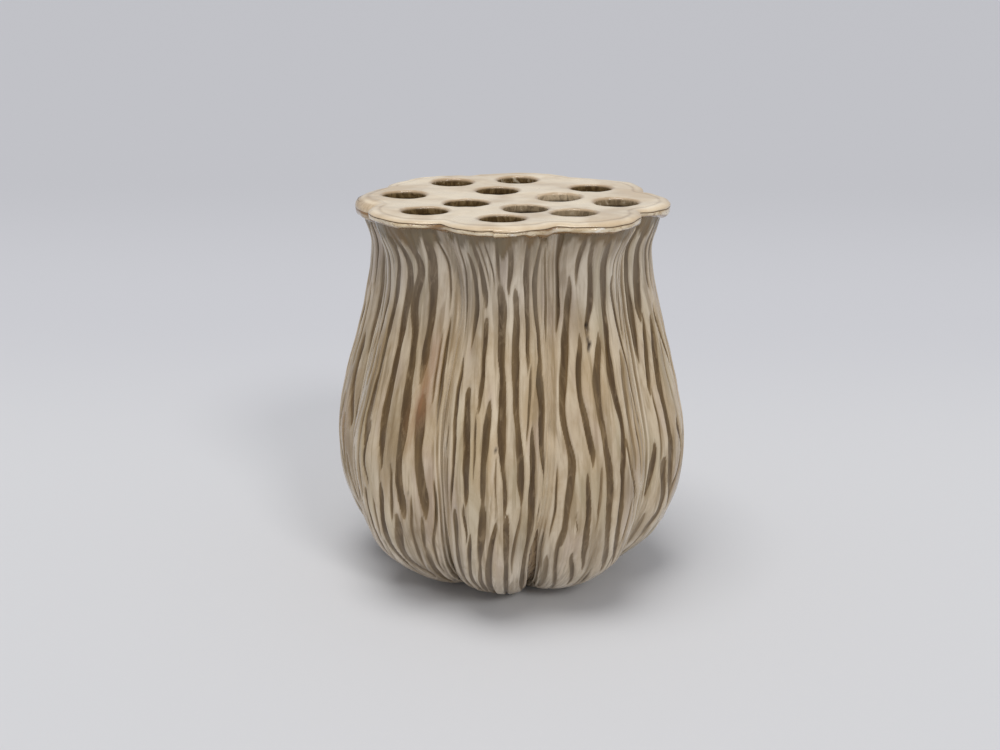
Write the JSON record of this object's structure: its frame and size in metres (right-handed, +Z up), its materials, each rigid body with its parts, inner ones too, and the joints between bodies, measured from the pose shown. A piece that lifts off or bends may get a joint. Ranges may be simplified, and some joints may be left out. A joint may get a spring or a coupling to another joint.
{
  "type": "flower frog vase",
  "caption": "Small glazed vase with a lobed, pod-shaped body carved with vertical ribs, a flared neck and a fixed scalloped top slab pierced with round holes that hold stems upright.",
  "frame": {"origin": "centre of the foot, on the surface the vase stands on", "axes": "+Z up through the middle of the pierced top; -Y towards the lobe that faces the viewer"},
  "size_m": [0.1096, 0.1096, 0.118],
  "materials": {
    "base_glaze": "satin glaze",
    "ribbed_glaze": "glossy glaze, brown in the carved grooves",
    "rim_glaze": "glossy glaze",
    "top_glaze": "glossy glaze"
  },
  "bodies": {
    "root": {"base_slab": "base_glaze", "body_wall": "ribbed_glaze", "rim_coil": "rim_glaze", "pierced_top": "top_glaze"}
  },
  "joints": []
}
